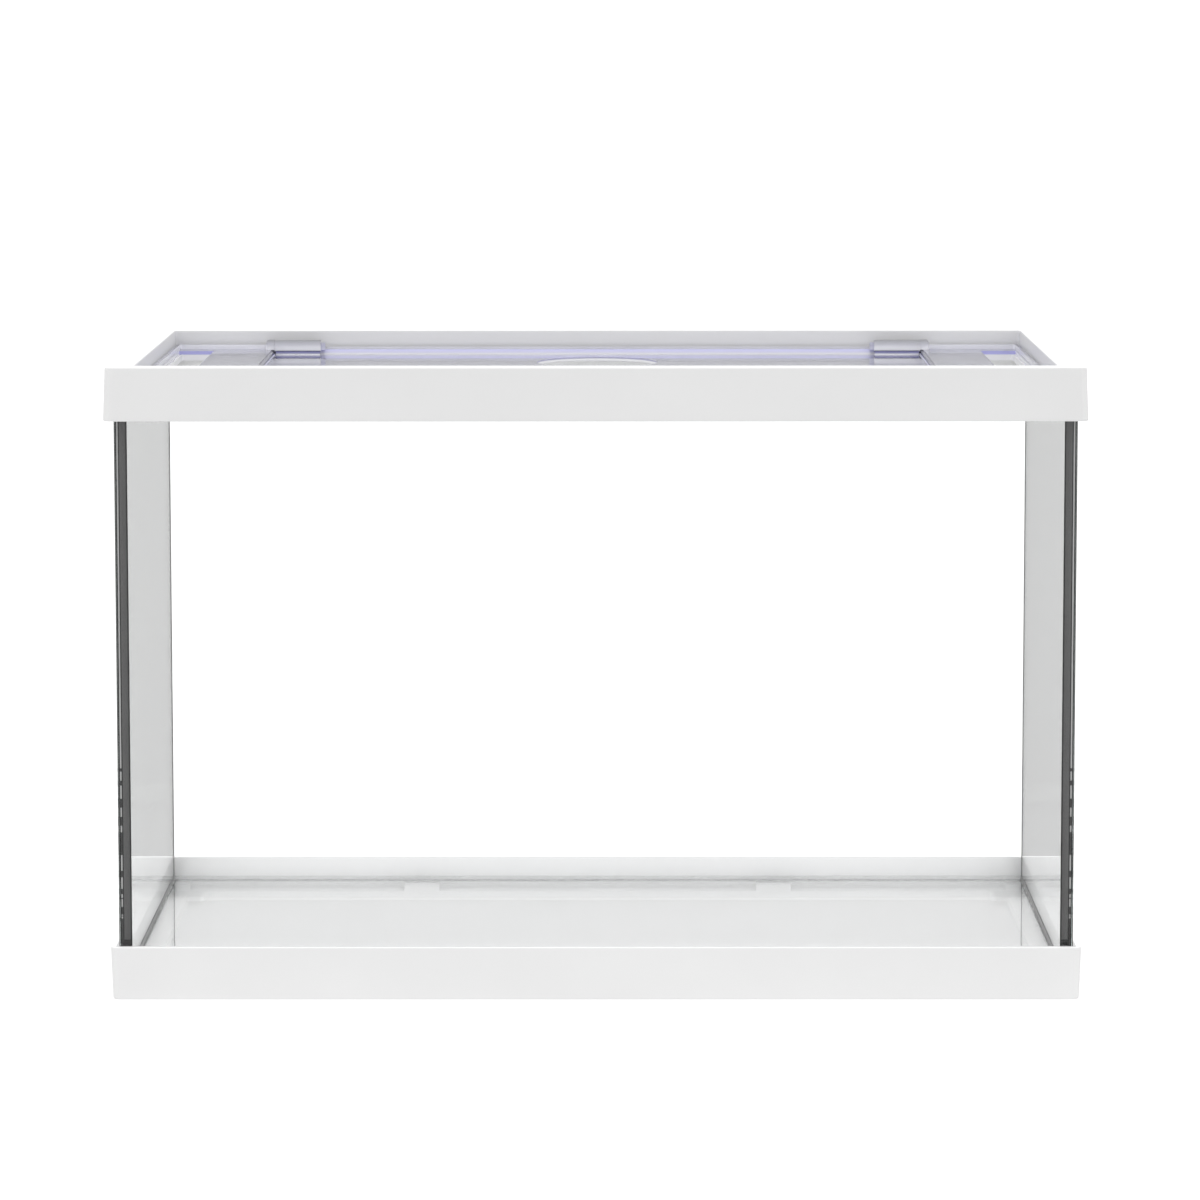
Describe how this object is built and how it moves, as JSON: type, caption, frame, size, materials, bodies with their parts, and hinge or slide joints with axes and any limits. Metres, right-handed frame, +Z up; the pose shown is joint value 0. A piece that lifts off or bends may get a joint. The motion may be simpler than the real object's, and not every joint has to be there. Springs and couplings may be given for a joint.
{
  "type": "glass aquarium",
  "caption": "Rectangular framed glass fish tank with a clear drop-in lid, whose hinged flap has a round feeding hole.",
  "frame": {"origin": "middle of the tank's footprint, on the surface it stands on", "axes": "+X along the tank's length to the right seen from the front, +Y to its back, where the flap is hinged, +Z up"},
  "size_m": [0.41, 0.212, 0.267],
  "materials": {
    "pane_glass": "clear polished float glass",
    "dark_sealant": "smooth cured silicone",
    "clear_sealant": "translucent cured silicone",
    "white_frame_plastic": "satin moulded plastic",
    "clear_lid_plastic": "clear plastic with a faint lavender tint",
    "clear_pin_plastic": "clear plastic rod"
  },
  "bodies": {
    "tank": {"front_pane": "pane_glass", "back_pane": "pane_glass", "left_pane": "pane_glass", "right_pane": "pane_glass", "floor_pane": "pane_glass", "front_left_joint": "dark_sealant", "front_right_joint": "dark_sealant", "back_left_joint": "dark_sealant", "back_right_joint": "dark_sealant", "left_floor_bead": "dark_sealant", "right_floor_bead": "dark_sealant", "front_floor_bead": "clear_sealant", "back_floor_bead": "clear_sealant", "top_bedding": "clear_sealant", "base_bedding": "clear_sealant", "top_frame": "white_frame_plastic", "base_frame": "white_frame_plastic"},
    "lid": {"lid_tray": "clear_lid_plastic", "left_hinge_pin": "clear_pin_plastic", "right_hinge_pin": "clear_pin_plastic"},
    "flap": {"feeding_flap": "clear_lid_plastic"}
  },
  "joints": [
    {"name": "lid_lift", "type": "slide", "parent": "tank", "child": "lid", "axis": [0, 0, 1], "range_m": [0, 0.06]},
    {"name": "flap_hinge", "type": "hinge", "parent": "lid", "child": "flap", "pos_m": [0, 0.08927, 0.2606], "axis": [-1, 0, 0], "range_deg": [0, 150]}
  ]
}
